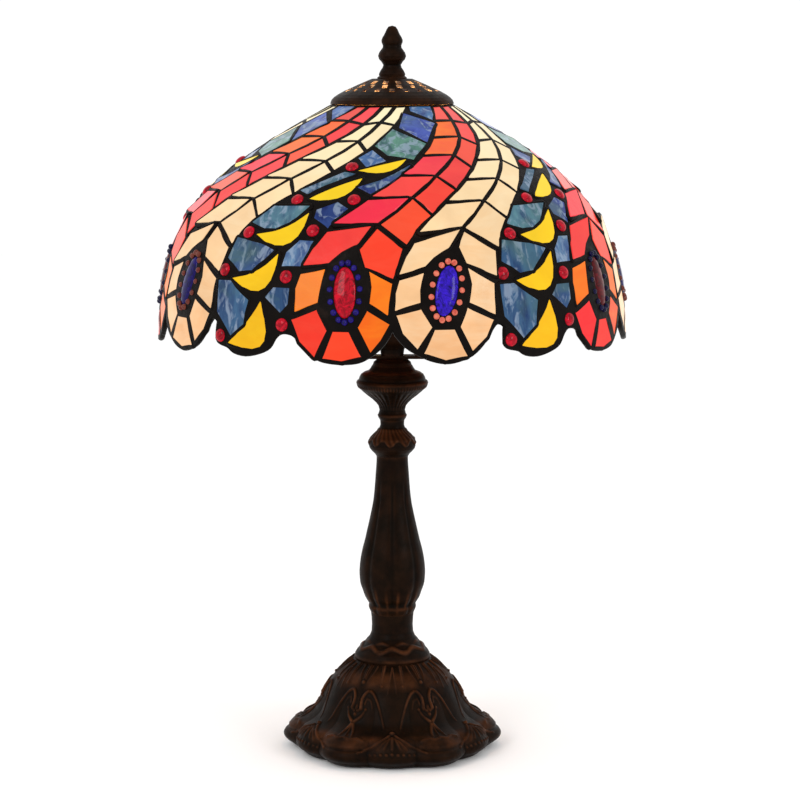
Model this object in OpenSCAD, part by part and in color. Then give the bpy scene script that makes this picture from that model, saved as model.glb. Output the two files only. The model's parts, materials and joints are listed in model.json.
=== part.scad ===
// Leaded-glass table lamp: dome shade with feather pattern on a turned stem and a cast bell base.
// Millimetres, +Z up. Origin on the floor at the lamp's axis. The front of the lamp faces -Y.

/* [Shade] */
// Radius of the shade at its top ring
shade_top_r = 38.4; // [38:0.1:39]
// Widest radius of the shade
shade_r = 151.4; // [149:0.2:153]
// Height of the shade's top edge above the floor
shade_top_z = 425.6; // [425:0.1:426]
// Height at which the shade's profile ends, below its scallops
shade_low_z = 268.4; // [267:0.2:270]
// Thickness of the lead lines
lead_t = 3.2; // [3:0.1:3.6]
// Thickness of the sheet glass
glass_t = 2.4; // [2:0.1:2.6]
// Width of the lead lines between two pieces of glass
lead_w = 2.6; // [2.2:0.1:3]

/* [Base] */
// Radius of the base at its foot, on the big lobes
base_r = 73; // [70:0.5:75]
// Height of the cast bell base
base_h = 60; // [58:0.5:60]
// Wall thickness of the castings
wall = 3; // [2.5:0.1:3.5]

/* [Threads and fits] */
// Radius of the threaded centre tube
tube_r = 5; // [4.8:0.1:5]
// Radial clearance of a piece that slips over the centre tube
slip = 0.2; // [0.1:0.05:0.3]

/* [Hidden] */
$fn = 64;
bronze = [0.13, 0.08, 0.05];
brass = [0.75, 0.58, 0.28];
lead = [0.07, 0.05, 0.04];
repeats = 5;
pitch = 360 / repeats;
bore_r = tube_r + slip;

// ---------------------------------------------------------------- the dome

// The dome's profile is one cubic curve from the top ring to just below the scallops.
steps = 24;
handles = [
  [shade_top_r, shade_top_z],
  [shade_top_r + 79, shade_top_z - 44],
  [shade_r + 1, shade_low_z + 92],
  [shade_r, shade_low_z]
];
function profile(t) =
  pow(1 - t, 3) * handles[0] + 3 * t * pow(1 - t, 2) * handles[1]
  + 3 * t * t * (1 - t) * handles[2] + pow(t, 3) * handles[3];
curve = [for (i = [0:steps]) profile(i / steps)];
// Distance down the dome from its top edge, at each point of the curve
function run(i) = i == 0 ? 0 : run(i - 1) + norm(curve[i] - curve[i - 1]);
runs = [for (i = [0:steps]) run(i)];
radius_at = [for (i = [0:steps]) [runs[i], curve[i][0]]];
height_at = [for (i = [0:steps]) [runs[i], curve[i][1]]];
// The pattern is drawn a little longer than the dome, and is shortened on to it
shorten = 0.988;
function dome_r(s) = lookup(s * shorten, radius_at);
function dome_z(s) = lookup(s * shorten, height_at);
function dome_tilt(s) = atan2(dome_z(s - 3) - dome_z(s + 3), dome_r(s + 3) - dome_r(s - 3));
function dome_point(p) = [dome_r(p[1]) * sin(p[0]), -dome_r(p[1]) * cos(p[0]), dome_z(p[1])];

// A place on the dome is [angle from the front, distance down the dome].
function middle(points) = [for (k = [0, 1]) ([for (p = points) p[k]] * [for (p = points) 1]) / len(points)];
function flat_point(p, c, tilt) =
  let (q = dome_point([p[0] - c[0], p[1]]))
  [q[0], (q[1] + dome_r(c[1])) * cos(tilt) + (q[2] - dome_z(c[1])) * sin(tilt)];
// An outline on the dome, laid flat on the dome's tangent plane at place c
function flat(points, c) = [for (p = points) flat_point(p, c, dome_tilt(c[1]))];

// Put children on the dome at a place, with local +Z pointing out of the dome
module on_dome(place) {
  rotate([0, 0, place[0]])
    translate([0, -dome_r(place[1]), dome_z(place[1])])
      rotate([dome_tilt(place[1]), 0, 0])
        children();
}

// Flat plate with an outline that is given on the dome and grown outwards a little
module plate(outline, low, high, grow = 0) {
  c = middle(outline);
  on_dome(c)
    translate([0, 0, low])
      linear_extrude(high - low)
        polygon(grow == 0 ? flat(outline, c) : inset(flat(outline, c), -grow));
}

module around_shade() {
  for (i = [0:repeats - 1])
    rotate([0, 0, i * pitch])
      children();
}

// ---------------------------------------------------------------- the feathers

// Angle of the five lead lines that run down a pair of feathers, every 20 mm down the dome:
// red feather's left edge, its rib, the seam, the cream feather's rib and its right edge
line_step = 20;
line_az = [
  [38, 28, 20, 11.5, 2, -8, -17, -21.5, -24],
  [51, 42.8, 35.5, 25, 14.5, 5, -4.5, -9.5, -10],
  [64.5, 56, 47, 36, 26, 16, 7.2, 1.8, 0.2],
  [75.6, 65.2, 57.7, 49, 38.5, 28, 19, 15.6, 14],
  [87.5, 76, 68, 59, 49.5, 39, 30.5, 26.8, 25.5]
];
function line(k, s) = lookup(s, [for (i = [0:len(line_az[k]) - 1]) [i * line_step, line_az[k][i]]]);

// Distances down the dome at which the cross lines meet each long line
top_s = 1;
red_left = [top_s, 19, 38.7, 58.5, 78, 98, 119];
red_rib = [top_s, 19.5, 38.7, 58.8, 79, 97.5, 117.5];
red_right = [top_s, 23.4, 48.6, 72, 91.5, 111, 132.5];
cream_left = [top_s, 23.4, 43.5, 64, 82.5, 101.5, 125];
cream_rib = [top_s, 20.7, 43.2, 65, 82.8, 101, 120.3];
cream_right = [top_s, 24.5, 54.5, 75.5, 95.5, 114.5, 135];
rows = len(red_left) - 1;

// One cell of the herringbone between long lines j and k, from row i to the next
function cell(j, k, sj, sk, i) =
  let (mj = (sj[i] + sj[i + 1]) / 2, mk = (sk[i] + sk[i + 1]) / 2)
  [
    [line(j, sj[i]), sj[i]], [line(k, sk[i]), sk[i]], [line(k, mk), mk],
    [line(k, sk[i + 1]), sk[i + 1]], [line(j, sj[i + 1]), sj[i + 1]], [line(j, mj), mj]
  ];

// Move each edge of a flat outline inwards by d
function unit(v) = v / norm(v);
function edge_normal(p, q) = let (e = unit(q - p)) [e[1], -e[0]];
function inset(points, d) =
  let (n = len(points))
  [for (i = [0:n - 1])
    let (
      a = edge_normal(points[(i + n - 1) % n], points[i]),
      b = edge_normal(points[i], points[(i + 1) % n])
    )
    points[i] + (a + b) * d / (1 + a * b)
  ];

// Glass piece that fills a cell up to the lead lines
module cell_plate(outline, low, high) {
  c = middle(outline);
  on_dome(c)
    translate([0, 0, low])
      linear_extrude(high - low)
        polygon(inset(flat(outline, c), lead_w / 2));
}

// Rows of a red feather that are orange on their left side
orange_rows = [1, 2];
module feather_cells(colour, low, high) {
  for (i = [0:rows - 1]) {
    if (colour == "red" || colour == "orange") {
      is_orange = len([for (k = orange_rows) if (k == i) k]) > 0;
      if (is_orange == (colour == "orange"))
        cell_plate(cell(0, 1, red_left, red_rib, i), low, high);
      if (colour == "red")
        cell_plate(cell(1, 2, red_rib, red_right, i), low, high);
    }
    if (colour == "cream") {
      cell_plate(cell(2, 3, cream_left, cream_rib, i), low, high);
      cell_plate(cell(3, 4, cream_rib, cream_right, i), low, high);
    }
  }
}

// Glass round the eyes, as outlines on the dome
red_eye_tiles = [
  [[-16.6, 123], [-5.3, 119.3], [-8.6, 130.5], [-12.2, 135.5], [-15.2, 142.5], [-21.3, 144.5], [-19.6, 134]],
  [[-3.6, 121], [2.6, 133.5], [1.4, 144], [0.3, 151.5], [-6.2, 145], [-7.6, 134]],
  [[-17.4, 171.5], [-14.8, 183.8], [-17.7, 199.8], [-21.3, 191], [-23.4, 178]],
  [[-13.4, 184.3], [-9.7, 184.3], [-6.9, 199], [-11.3, 202], [-15.7, 200.6]]
];
orange_eye_tiles = [
  [[-16.1, 147], [-16.8, 159], [-17.2, 167], [-22.6, 172.6], [-23, 159], [-22, 150]],
  [[-5.1, 148], [0.2, 155], [-0.9, 173.5], [-5, 167], [-4.6, 157]],
  [[-5.5, 171.5], [-0.4, 179.5], [-2.4, 189], [-4.7, 196.5], [-7.6, 181.5]]
];
cream_eye_tiles = [
  [[17.6, 122], [14.2, 132.7], [10.3, 139], [8.1, 144.5], [2, 149.3], [3.7, 139], [5.7, 130]],
  [[19, 123.4], [26.4, 136], [25.6, 151], [18.4, 143], [17, 132.5]],
  [[7.5, 149], [6.7, 159], [6.7, 166.5], [1, 170.8], [1, 161], [1.9, 153]],
  [[18.7, 146.5], [24.9, 156], [24.4, 174.3], [18.3, 167], [19.2, 156]],
  [[6.8, 170.6], [9.3, 181.4], [5.9, 194.5], [2.6, 185], [1.2, 174.2]],
  [[9.9, 183], [14.5, 183], [17.3, 199], [12.4, 201.4], [7.5, 197]],
  [[17.8, 170.5], [24, 178], [22.2, 188], [18.7, 196.3], [15.9, 181.5]]
];

// ---------------------------------------------------------------- the blue band

// How much the blue pieces grow towards their neighbours
blue_grow = 0.5;
blue_tiles = [
  [[16, 2], [36, 2], [32, 11], [28.3, 18], [15.5, 7]],
  [[9.3, 10], [26.6, 22.4], [16.5, 43.5], [4.6, 27.3]],
  [[0.6, 29.5], [15, 46], [8.3, 62], [-1.5, 58], [-6.8, 48]],
  [[-8.2, 53], [-2.4, 64], [-9, 69.6], [-12.7, 61]],
  [[5.4, 71], [0.6, 83], [-5.2, 94.8], [-9.7, 89], [-3.6, 82.6], [1.2, 76.4]],
  [[-16.3, 75.6], [-13.2, 77], [-17.6, 82.6], [-21.6, 87.6], [-26, 94.2], [-28, 92.4]],
  [[-21, 107.5], [-15.5, 101.5], [-12.6, 106], [-16.8, 119.3], [-21, 113]],
  [[-24, 105.7], [-28.3, 116.8], [-31.8, 121], [-35.3, 121], [-39.4, 117.8], [-35, 106]],
  [[-42.8, 129.8], [-35, 132.3], [-30.8, 136.2], [-35.8, 148.7], [-39.6, 149.7], [-44, 142]],
  [[-23.6, 129.2], [-20.4, 129.7], [-22, 144.8], [-27, 145], [-26.6, 137]],
  [[-45.4, 157.5], [-42, 157.2], [-35.9, 168], [-36.8, 182], [-40.2, 189], [-45, 176]],
  [[-28.8, 159.3], [-24.7, 159.3], [-24.8, 168.5], [-26.5, 173.5], [-30.6, 165]]
];

// A crescent between two tips on the dome. Its two arcs stand off the line between the tips by the given sags.
arc_steps = 7;
function arc_point(a, b, sag, u) =
  let (along = b - a, size = dome_r((a[1] + b[1]) / 2) * PI / 180)
  let (chord = [along[0] * size, along[1]], side = [-chord[1], chord[0]] / norm(chord))
  a + u * along + 4 * u * (1 - u) * sag * [side[0] / size, side[1]];
function crescent(a, b, outer, inner) = concat(
  [for (i = [0:arc_steps]) arc_point(a, b, outer, i / arc_steps)],
  [for (i = [arc_steps - 1:-1:1]) arc_point(a, b, inner, i / arc_steps)]
);
yellow_tiles = [
  crescent([-11.3, 73.8], [5.3, 62.8], 7, -1.2),
  crescent([-24.2, 99], [-9.8, 81.5], 8, -2.2),
  crescent([-36.8, 126.3], [-23, 110.5], 15, 2.6),
  crescent([-41, 155], [-28.8, 138.5], 16, 2.8),
  crescent([-40.6, 194.5], [-32, 168.5], 19, 1)
];

// Round jewels, at places on the dome
jewel_r = 4;
jewel_places = [
  [-14.3, 70], [-28.4, 100], [-10.9, 99], [-20.7, 122], [-40, 125], [-44.5, 150], [-25.8, 152], [-25.9, 181.3],
  [-43.6, 190.7]
];

// The eyes: place, lean of the long axis, and half width and half height in mm
red_eye = [-10.9, 160.5];
cream_eye = [13, 159.5];
eye_a = 6.8;
eye_b = 15.5;
ring_a = 11.8;
ring_b = 20;
red_lean = 2;
cream_lean = -12;
bead_r = 1.8;
bead_count = 15;
function oval(a, b, n) = [for (i = [0:n - 1]) [a * sin(i * 360 / n), b * cos(i * 360 / n)]];

module eye_at(place, lean) {
  on_dome(place)
    rotate([0, 0, lean])
      children();
}

module eye_hole() {
  translate([0, 0, -4])
    linear_extrude(8)
      polygon(oval(eye_a, eye_b, 24));
}

// ---------------------------------------------------------------- the rim

// Outline of the scalloped rim over one repeat, from one cream feather's end to the next
rim = [
  [-46.2, 180.5], [-45, 183], [-45.6, 189], [-44.6, 195.3], [-41.5, 197.5], [-39.5, 200.6], [-36, 201.7],
  [-32, 199.5], [-29.3, 196], [-27.8, 190], [-26.2, 186.7], [-24, 186.7], [-22.2, 189.6], [-20.2, 195.6],
  [-17.2, 201.4], [-14.5, 203.3], [-11, 203.8], [-7.6, 202.8], [-5.2, 199.8], [-2.2, 193.5], [-0.4, 186.5],
  [0.2, 182.5], [1, 186.5], [3.4, 193.5], [6, 197.8], [9, 201.5], [12.5, 203.4], [15.6, 202.3], [18.8, 199],
  [21.4, 193], [23.4, 185.5], [24.8, 181], [25.8, 180.5]
];
below = 212;
scallops = [0, 5, 12, 21, 32];
function rim_at(i) =
  let (n = len(rim) - 1, turn = floor(i / n))
  rim[i - turn * n] + [turn * pitch, 0];
// The rim as a smooth curve through its points, at a fraction of the way from point i to the next
function rim_curve(i, t) =
  let (a = rim_at(i - 1), b = rim_at(i), c = rim_at(i + 1), d = rim_at(i + 2))
  b + 0.5 * t * (c - a) + t * t * (a - 2.5 * b + 2 * c - 0.5 * d)
  + 0.5 * t * t * t * (3 * b - a - 3 * c + d);
rim_steps = 3;
// Everything under the rim, from one place on it to another
module below_rim(first, last) {
  outline = concat(
    [for (i = [first:last - 1]) for (k = [0:rim_steps - 1]) rim_curve(i, k / rim_steps)],
    [rim_at(last), [rim_at(last)[0], below], [rim_at(first)[0], below]]
  );
  c = [(rim_at(first)[0] + rim_at(last)[0]) / 2, 190];
  on_dome(c)
    translate([0, 0, -20])
      linear_extrude(40)
        polygon(flat(outline, c));
}

module dome_shell(low, high, first_s, last_s) {
  stations = [for (i = [0:14]) first_s + (last_s - first_s) * i / 14];
  rotate_extrude($fn = 120)
    polygon(concat(
      [for (s = stations) [dome_r(s) + high * sin(dome_tilt(s)), dome_z(s) + high * cos(dome_tilt(s))]],
      [for (i = [14:-1:0])
        let (s = stations[i])
        [dome_r(s) + low * sin(dome_tilt(s)), dome_z(s) + low * cos(dome_tilt(s))]]
    ));
}

module windows() {
  for (colour = ["red", "orange", "cream"])
    feather_cells(colour, -5, 5);
  for (t = concat(red_eye_tiles, orange_eye_tiles, cream_eye_tiles, yellow_tiles))
    plate(t, -5, 5);
  for (t = blue_tiles)
    plate(t, -5, 5, blue_grow);
  for (p = jewel_places)
    on_dome(p)
      cylinder(r = jewel_r, h = 10, center = true);
  eye_at(red_eye, red_lean)
    eye_hole();
  eye_at(cream_eye, cream_lean)
    eye_hole();
}

module leadwork() {
  color(lead)
    difference() {
      dome_shell(-lead_t / 2, lead_t / 2, 0, 205);
      around_shade() {
        windows();
        for (k = [0:len(scallops) - 2])
          below_rim(scallops[k] - 1, scallops[k + 1] + 1);
      }
    }
}

// Ring in the shade's top opening, with three arms to a hub on the harp's stud
arms = 3;
arm_w = 5;
ring_in = 33;
ring_out = 37.2;
ring_t = 1.3;
module shade_ring() {
  color(brass)
    translate([0, 0, ring_z])
      difference() {
        union() {
          difference() {
            cylinder(r = ring_out, h = ring_t);
            translate([0, 0, -1])
              cylinder(r = ring_in, h = ring_t + 2);
          }
          for (i = [0:arms - 1])
            rotate([0, 0, i * 360 / arms])
              translate([0, -arm_w / 2, 0])
                cube([ring_in + 1, arm_w, ring_t]);
          cylinder(r = 8.5, h = ring_t);
        }
        translate([0, 0, -1])
          cylinder(r = hub_r, h = ring_t + 2);
      }
}

// ---------------------------------------------------------------- glass

module tiles(list) {
  for (t = list)
    plate(t, -glass_t / 2, glass_t / 2);
}

module glass_red() {
  color([0.95, 0.2, 0.2])
    around_shade() {
      feather_cells("red", -glass_t / 2, glass_t / 2);
      tiles(red_eye_tiles);
    }
}

module glass_orange() {
  color([1, 0.5, 0.1])
    around_shade() {
      feather_cells("orange", -glass_t / 2, glass_t / 2);
      tiles(orange_eye_tiles);
    }
}

module glass_cream() {
  color([1, 0.88, 0.66])
    around_shade() {
      feather_cells("cream", -glass_t / 2, glass_t / 2);
      tiles(cream_eye_tiles);
    }
}

module glass_blue() {
  color([0.3, 0.38, 0.55])
    around_shade()
      for (t = blue_tiles)
        plate(t, -glass_t / 2, glass_t / 2, blue_grow);
}

module glass_yellow() {
  color([1, 0.82, 0.1])
    around_shade()
      tiles(yellow_tiles);
}

// Oval cabochon: a stepped dome on a flat back
module eye_jewel() {
  for (k = [0:3])
    translate([0, 0, k - 1.2])
      linear_extrude(k == 3 ? 0.9 : 1)
        polygon(oval(eye_a * jewel_taper[k], eye_b * jewel_taper[k], 24));
}
jewel_taper = [0.995, 0.995, 0.9, 0.7];

module eye_jewels_red() {
  color([0.7, 0, 0.12])
    around_shade()
      eye_at(red_eye, red_lean)
        eye_jewel();
}

module eye_jewels_blue() {
  color([0.15, 0.05, 0.7])
    around_shade()
      eye_at(cream_eye, cream_lean)
        eye_jewel();
}

// Ring of small glass beads that sit on the lead round an eye
module bead_ring() {
  for (i = [0:bead_count - 1])
    translate([
      ring_mid_a * sin((i + 0.5) * 360 / bead_count),
      ring_mid_b * cos((i + 0.5) * 360 / bead_count),
      lead_t / 2 + bead_r * 0.3
    ])
      sphere(r = bead_r, $fn = 24);
}
ring_mid_a = (eye_a + ring_a) / 2;
ring_mid_b = (eye_b + ring_b) / 2 + 0.5;

module beads_blue() {
  color([0.15, 0.05, 0.6])
    around_shade()
      eye_at(red_eye, red_lean)
        bead_ring();
}

module beads_pink() {
  color([0.9, 0.35, 0.35])
    around_shade()
      eye_at(cream_eye, cream_lean)
        bead_ring();
}

module round_jewels() {
  color([0.75, 0, 0.15])
    around_shade()
      for (p = jewel_places)
        on_dome(p)
          intersection() {
            translate([0, 0, -1.2])
              cylinder(r = jewel_r - 0.02, h = 6);
            translate([0, 0, -2.2])
              sphere(r = 5.6, $fn = 32);
          }
}

// ---------------------------------------------------------------- cap and finial

cap_r = 40;
cap_rim_z = 427.2;
cap_outside = [
  [13.2, 443.2], [17.5, 441.4], [21.9, 439.5], [26.2, 437.5], [31, 435.4], [35, 433.2], [37.6, 431.4],
  [39.3, 429.6], [40.2, 427.2]
];
slot_rings = [[18.3, 14], [23.6, 16], [28.9, 20]];
slot_w = 3.4;
slot_l = 4;
module pierced_cap() {
  color(bronze)
    difference() {
      rotate_extrude($fn = 120)
        polygon(concat(
          [[hub_r, 443.2]],
          cap_outside,
          [[cap_r - 1.6, cap_rim_z], [38, 429.2], [36.6, 430.5], [34.2, 431.9], [30.5, 433.9], [25.6, 436.1],
           [21.3, 438], [16.9, 440], [12.8, 441.6], [hub_r, 441.6]]
        ));
      for (k = [0:len(slot_rings) - 1])
        for (i = [0:slot_rings[k][1] - 1])
          rotate([0, 0, (i + (k % 2) / 2) * 360 / slot_rings[k][1]])
            translate([slot_rings[k][0], 0, 436])
              cube([slot_l, slot_w, 20], center = true);
    }
}

module upper_washer() {
  color(bronze)
    rotate_extrude()
      polygon([[hub_r, 443.2], [9.6, 443.2], [9.6, 444], [8.6, 444.8], [hub_r, 444.8]]);
}

finial_profile = [
  [8.3, 444.8], [8.6, 446.2], [7.6, 448.4], [6.2, 450.4], [5.7, 452], [6.8, 453.9], [8.4, 455.7], [9.1, 457.8],
  [8.4, 460], [7.2, 461.7], [6.1, 463.2], [6, 464.6], [6.8, 466.4], [6.9, 468], [6.2, 469.8], [5.3, 471.2],
  [4.4, 473], [3.6, 474.8], [2.4, 476.6], [0, 477.3]
];
insert_r = 3.6;
insert_h = 14;
module finial() {
  color(bronze)
    difference() {
      rotate_extrude()
        polygon(concat([[0, 444.8]], finial_profile));
      translate([0, 0, 440])
        cylinder(r = insert_r, h = insert_h + 4.8);
    }
}

module finial_insert() {
  color(brass)
    difference() {
      translate([0, 0, 444.8])
        cylinder(r = insert_r, h = insert_h);
      translate([0, 0, 440])
        cylinder(r = stud_r + 0.1, h = insert_h + 3);
    }
}

// ---------------------------------------------------------------- harp and lamp holder

saddle_z = 261;
saddle_t = 2;
stud_r = 2.9;
stud_top_z = 455;
hub_r = 3;
ring_z = 425.4;
harp_top_z = 419.5;
harp_w = 33;
harp_d = 2.6;
wire_end_x = 4;

// Threaded stud on a flange, with a block below it that the two ends of the wire go into
block_r = 5;
block_h = 3;
washer_t = 1.2;
module harp_stud() {
  color(brass) {
    difference() {
      translate([0, 0, harp_top_z - block_h / 2])
        cylinder(r = block_r, h = block_h);
      for (turn = [0, 180])
        rotate([0, 0, turn])
          translate([wire_end_x - 0.1, 0, harp_top_z])
            rotate([0, 90, 0])
              cylinder(r = harp_d / 2 + 0.03, h = block_r);
    }
    translate([0, 0, harp_top_z + block_h / 2])
      cylinder(r = 6.5, h = ring_z - washer_t - harp_top_z - block_h / 2);
    translate([0, 0, ring_z - washer_t])
      cylinder(r = stud_r, h = stud_top_z - ring_z + washer_t);
  }
}

module lower_washer() {
  color(brass)
    rotate_extrude()
      polygon([[hub_r, ring_z - washer_t], [8.5, ring_z - washer_t], [8.5, ring_z], [hub_r, ring_z]]);
}

// The harp's wire: legs that lean out from the ferrules, then one long arch to the stud at the top
leg_z = saddle_z + 14;
bend_z = 391;
saddle_half = 18.5;
bow_z = 330;
bend_r = harp_top_z - bend_z;
elbow_r = harp_d / 2 + 0.15;
module harp_side(turn) {
  rotate([0, 0, turn]) {
    translate([saddle_half, 0, saddle_z + 3.5])
      cylinder(r = harp_d / 2, h = leg_z - saddle_z - 3.5);
    translate([saddle_half, 0, leg_z])
      sphere(r = elbow_r);
    translate([saddle_half, 0, leg_z])
      rotate([0, atan2(harp_w - saddle_half, bow_z - leg_z), 0])
        cylinder(r = harp_d / 2, h = norm([harp_w - saddle_half, bow_z - leg_z]));
    translate([harp_w, 0, bow_z])
      sphere(r = elbow_r);
    translate([harp_w, 0, bow_z])
      cylinder(r = harp_d / 2, h = bend_z - bow_z);
    translate([harp_w - bend_r, 0, bend_z])
      rotate([90, 0, 0])
        rotate_extrude(angle = 90)
          translate([bend_r, 0])
            circle(r = harp_d / 2);
    translate([wire_end_x, 0, bend_z + bend_r])
      rotate([0, 90, 0])
        cylinder(r = harp_d / 2, h = harp_w - bend_r - wire_end_x);
  }
}
module harp_wire() {
  color(brass) {
    harp_side(0);
    harp_side(180);
  }
}

module harp_ferrules() {
  color(brass)
    for (side = [-1, 1])
      translate([side * saddle_half, 0, saddle_z + saddle_t])
        difference() {
          cylinder(r = 3, h = 11);
          translate([0, 0, 1.5])
            cylinder(r = harp_d / 2 + 0.02, h = 20);
        }
}

module harp_saddle() {
  color(bronze) {
    difference() {
      translate([0, 0, saddle_z + saddle_t / 2])
        cube([2 * saddle_half + 5, 11, saddle_t], center = true);
      translate([0, 0, saddle_z - 5])
        cylinder(r = bore_r, h = 12);
    }
  }
}

// Lamp holder, upright on the centre tube
holder_z = saddle_z + saddle_t;
module holder_cap() {
  color(brass)
    difference() {
      rotate_extrude()
        polygon([
          [0, holder_z], [7.4, holder_z], [8, holder_z + 4], [9.6, holder_z + 6.5], [14, holder_z + 10],
          [16.6, holder_z + 14], [17, holder_z + 20], [0, holder_z + 20]
        ]);
      rotate_extrude()
        polygon([
          [0, holder_z + 12], [12.5, holder_z + 12], [15.4, holder_z + 15], [15.8, holder_z + 21],
          [0, holder_z + 21]
        ]);
      translate([0, 0, holder_z - 1])
        cylinder(r = bore_r, h = 20);
    }
}

knob_z = holder_z + 29;
shaft_r = 2.2;
running = 0.08;
shell_top_z = holder_z + 58;
module holder_shell() {
  color(brass)
    difference() {
      translate([0, 0, holder_z + 20])
        cylinder(r = 17, h = shell_top_z - holder_z - 20);
      translate([0, 0, holder_z + 19])
        cylinder(r = 16.2, h = 60);
      translate([0, 0, knob_z])
        rotate([-90, 0, 0])
          cylinder(r = shaft_r + running, h = 30);
    }
}

module holder_sleeve() {
  color([0.82, 0.76, 0.62])
    difference() {
      translate([0, 0, holder_z + 16])
        cylinder(r = 15.2, h = shell_top_z - holder_z - 17);
      translate([0, 0, holder_z + 38])
        cylinder(r = 14.2, h = 40);
      translate([0, 0, holder_z + 15])
        cylinder(r = 6.4, h = 17);
      translate([0, 0, holder_z + 31])
        cylinder(r = contact_r, h = 10);
      translate([0, 0, knob_z])
        rotate([-90, 0, 0])
          cylinder(r = shaft_r + running, h = 30);
    }
}

module screw_shell() {
  color(brass)
    translate([0, 0, holder_z + 38])
      difference() {
        cylinder(r = 14, h = 18);
        translate([0, 0, 0.8])
          cylinder(r = 13.4, h = 20);
        translate([0, 0, -1])
          cylinder(r = 5, h = 4);
      }
}

contact_r = 1.6;
module centre_contact() {
  color(brass) {
    translate([0, 0, holder_z + 32])
      cylinder(r = contact_r, h = 7);
    translate([0, 0, holder_z + 39])
      cylinder(r = 4, h = 1);
  }
}

shaft_low_y = 7.5;
knob_low_y = 17.4;
knob_bore = 8;
module switch_shaft() {
  color(brass)
    translate([0, shaft_low_y, knob_z])
      rotate([-90, 0, 0])
        cylinder(r = shaft_r, h = knob_low_y + knob_bore - shaft_low_y);
}

module switch_knob() {
  color(bronze)
    translate([0, knob_low_y, knob_z])
      rotate([-90, 0, 0])
        difference() {
          union() {
            cylinder(r = 3, h = 3);
            translate([0, 0, 3])
              cylinder(r = 5, h = 8);
          }
          translate([0, 0, -1])
            cylinder(r = shaft_r, h = knob_bore + 1);
          for (i = [0:11])
            rotate([0, 0, i * 30])
              translate([5.4, 0, 2])
                cylinder(r = 0.8, h = 12, $fn = 16);
        }
}

bulb_z = holder_z + 40.4;
module bulb_contact() {
  color([0.6, 0.6, 0.62])
    translate([0, 0, bulb_z])
      cylinder(r = 4.4, h = 1.6);
}

module bulb_cap() {
  color([0.75, 0.72, 0.66])
    difference() {
      translate([0, 0, bulb_z + 1.6])
        cylinder(r = 13, h = 23.4);
      translate([0, 0, bulb_z + 3.6])
        cylinder(r = 11.9, h = 30);
    }
}

globe_r = 22.5;
globe_z = bulb_z + 60;
module bulb_glass() {
  color([1, 0.95, 0.85])
    rotate_extrude()
      polygon(concat(
        [[0, bulb_z + 6], [11.7, bulb_z + 6], [11.7, bulb_z + 25], [13, bulb_z + 30], [16, bulb_z + 38]],
        [for (a = [-42:12:90]) [globe_r * cos(a), globe_z + globe_r * sin(a)]]
      ));
}

// ---------------------------------------------------------------- stem

module turned(outline, bore) {
  rotate_extrude($fn = 96)
    polygon(concat(
      [[bore, outline[0][1]]],
      outline,
      [[bore, outline[len(outline) - 1][1]]]
    ));
}

module check_ring() {
  color(bronze)
    turned([[9.5, saddle_z], [12.2, 258.6], [12.9, 256.4]], bore_r);
}

module urn() {
  color(bronze)
    turned([
      [13.2, 256.4], [14.2, 254.6], [15.4, 253], [18.6, 251.8], [20.6, 250.4], [21.6, 248.6], [22, 247],
      [23.2, 246.2], [23.7, 245], [23.2, 243.8], [22.4, 242.2], [20.1, 239.8], [17.1, 237.2], [13.2, 234.2],
      [10.6, 231.6], [9.1, 229.6], [8.4, 226.8], [9, 224.6], [9.7, 223.4], [9.2, 222], [8, 220]
    ], bore_r);
}

module stem_knop() {
  color(bronze)
    turned([
      [8, 220], [7.8, 217], [8.5, 214.8], [9.9, 212.4], [12.3, 210.2], [14.2, 208], [15.2, 205.4], [15.4, 203],
      [14.9, 201.4], [13.4, 199.6], [11.4, 197.6], [10.4, 196]
    ], bore_r);
}

flutes = 10;
module baluster() {
  color(bronze)
    difference() {
      turned([
        [10.4, 196], [10.4, 193], [10.8, 187], [11.4, 180], [12, 173], [12.8, 166], [13.9, 160], [15.4, 153],
        [17, 146], [18.6, 139], [20.2, 133], [21.5, 126], [22.1, 119], [21.6, 112], [20.8, 109], [19.7, 106],
        [18.3, 102], [16.5, 99], [15.4, 97], [16, 95.4], [15.4, 93.6], [14.2, 91]
      ], bore_r);
      for (i = [0:flutes - 1])
        rotate([0, 0, i * 360 / flutes])
          translate([21.2, 0, 112])
            rotate([0, -9.6, 0])
              cylinder(r = 1.4, h = 66, $fn = 24);
    }
}

module lower_collar() {
  color(bronze)
    turned([
      [14.2, 91], [13.9, 88], [13.6, 83], [13.9, 78], [15.1, 75], [17.4, 71.9], [20.8, 68.4], [23.6, 65.4],
      [24.8, 63.4], [25.2, 61.6], [24.9, base_h]
    ], bore_r);
}

// ---------------------------------------------------------------- base

lobes = 6;
foot_z = 0.8;
// Radius and height of the bell on its big lobes, from the collar down to the foot
bell = [
  [25.6, base_h], [28.6, 58], [32.4, 55.4], [36.8, 51.4], [40, 47], [42.7, 43], [45, 39], [47.2, 34.6],
  [49.4, 30.4], [51.4, 26.8], [53.8, 24.4], [57.2, 22.2], [61.8, 20.2], [66, 18.4], [68.8, 15.6], [71, 12.4],
  [72.8, 9], [71.6, 6], [68, 3.4], [64, foot_z]
];
// The foot's outline: a big lobe 32 degrees wide, then a small shell 28 degrees wide
big_half = 16;
small_half = 30 - big_half;
big_dip = 0.09;
small_reach = 0.95;
function off_lobe(angle) = abs(((angle % pitch_base) + pitch_base) % pitch_base - pitch_base / 2);
function outline_at(d) = d < big_half
  ? 1 - big_dip * (1 - cos(90 * d / big_half))
  : small_reach - (small_reach + big_dip - 1) * (1 - cos(90 * (30 - d) / small_half));
pitch_base = 360 / lobes;
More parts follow.
